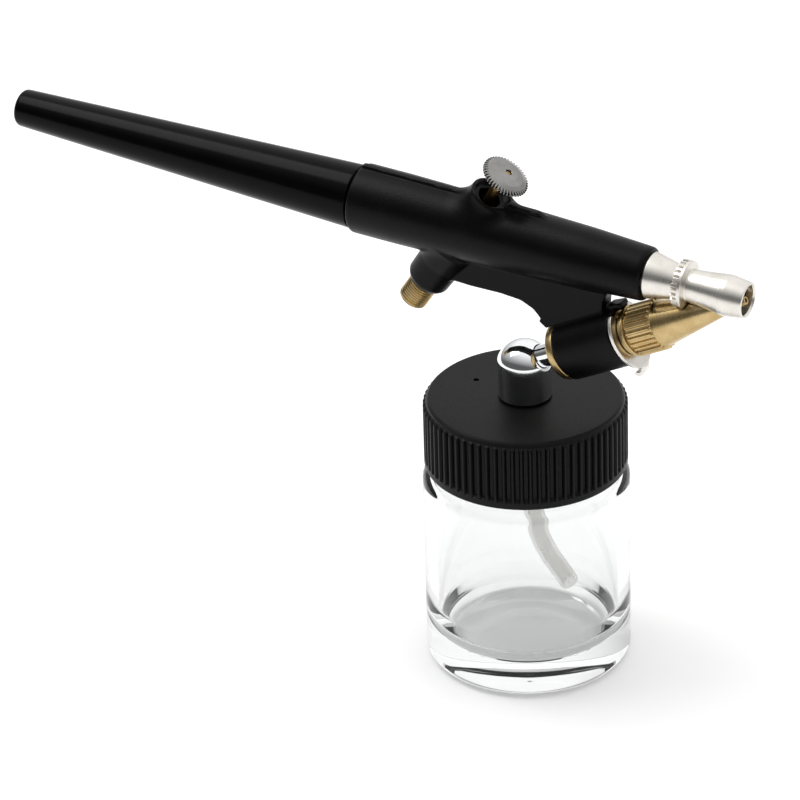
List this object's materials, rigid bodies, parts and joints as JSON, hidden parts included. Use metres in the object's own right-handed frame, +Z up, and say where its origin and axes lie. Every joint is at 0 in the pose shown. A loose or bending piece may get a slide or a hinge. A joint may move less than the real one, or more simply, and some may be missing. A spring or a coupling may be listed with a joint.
{
  "type": "siphon-feed airbrush gun",
  "caption": "External-mix airbrush: tapered handle, moulded barrel, push-button air valve, cone paint tip in a slotted nozzle, and a glass siphon bottle under a ribbed screw cap.",
  "frame": {"origin": "centre of the glass bottle's flat base, on the surface that the airbrush stands on", "axes": "+Z up along the bottle's axis, +X toward the nozzle, and the gun's plane of symmetry is XZ"},
  "size_m": [0.1379, 0.035, 0.0917],
  "materials": {
    "satin_black": "moulded black plastic with a fine satin grain",
    "gloss_black": "polished black plastic",
    "brass": "turned yellow brass",
    "nickel": "warm nickel plate over turned brass",
    "chrome": "bright chrome plate",
    "steel": "bright spring steel",
    "rubber": "black nitrile rubber",
    "white_plastic": "milky white plastic",
    "clear_glass": "clear moulded flint glass"
  },
  "bodies": {
    "gun_body": {"body_shell": "satin_black", "air_inlet_fitting": "brass", "valve_spring": "steel", "stem_seal": "rubber", "valve_guide": "brass", "air_tube": "brass", "nozzle_base": "nickel", "air_cap": "nickel", "air_jet": "brass", "fluid_tube": "brass", "fluid_needle": "steel", "spring_clip": "nickel"},
    "handle_body": {"handle": "gloss_black"},
    "trigger": {"trigger_button": "chrome", "valve_stem": "brass", "valve_plunger": "brass", "plunger_seal": "rubber"},
    "tip_washer": {"tip_packing": "white_plastic"},
    "tip": {"fluid_tip": "brass"},
    "stem": {"adaptor_stem": "chrome"},
    "bottle_cap": {"bottle_adaptor": "chrome", "adaptor_washer": "rubber", "adaptor_nut": "brass", "siphon_tube": "white_plastic", "jar_cap": "satin_black"},
    "liner": {"cap_liner": "white_plastic"},
    "jar": {"glass_jar": "clear_glass"}
  },
  "joints": [
    {"name": "trigger_press", "type": "slide", "parent": "gun_body", "child": "trigger", "axis": [-0.56, 0, -0.8285], "range_m": [0, 0.0019], "stiffness_N_per_m": 800, "springref_m": -0.001, "deforming": ["valve_spring"]},
    {"name": "tip_advance", "type": "slide", "parent": "gun_body", "child": "tip_washer", "axis": [0.887, 0, 0.4618], "range_m": [0, 0.00075]},
    {"name": "tip_turn", "type": "hinge", "parent": "tip_washer", "child": "tip", "pos_m": [0.0394, 0, 0.07614], "axis": [0.887, 0, 0.4618], "range_deg": [0, 540]},
    {"name": "bottle_pull_off", "type": "slide", "parent": "gun_body", "child": "stem", "axis": [-0.887, 0, -0.4618], "range_m": [0, 0.0071]},
    {"name": "bottle_swivel", "type": "hinge", "parent": "stem", "child": "bottle_cap", "pos_m": [0.0394, 0, 0.07614], "axis": [0.887, 0, 0.4618], "range_deg": [-90, 90]},
    {"name": "jar_lower", "type": "slide", "parent": "bottle_cap", "child": "liner", "axis": [0, 0, -1], "range_m": [0, 0.00317]},
    {"name": "jar_turn", "type": "hinge", "parent": "liner", "child": "jar", "pos_m": [0, 0, 0], "axis": [0, 0, -1], "range_deg": [0, 360]},
    {"name": "handle_pull", "type": "slide", "parent": "gun_body", "child": "handle_body", "axis": [-0.9992, 0, 0.0398], "range_m": [0, 0.0095]}
  ],
  "couplings": [
    {"joint": "tip_turn", "follows": "tip_advance", "rad_per_m": 12566},
    {"joint": "jar_lower", "follows": "jar_turn", "m_per_rad": 0.00050532}
  ]
}
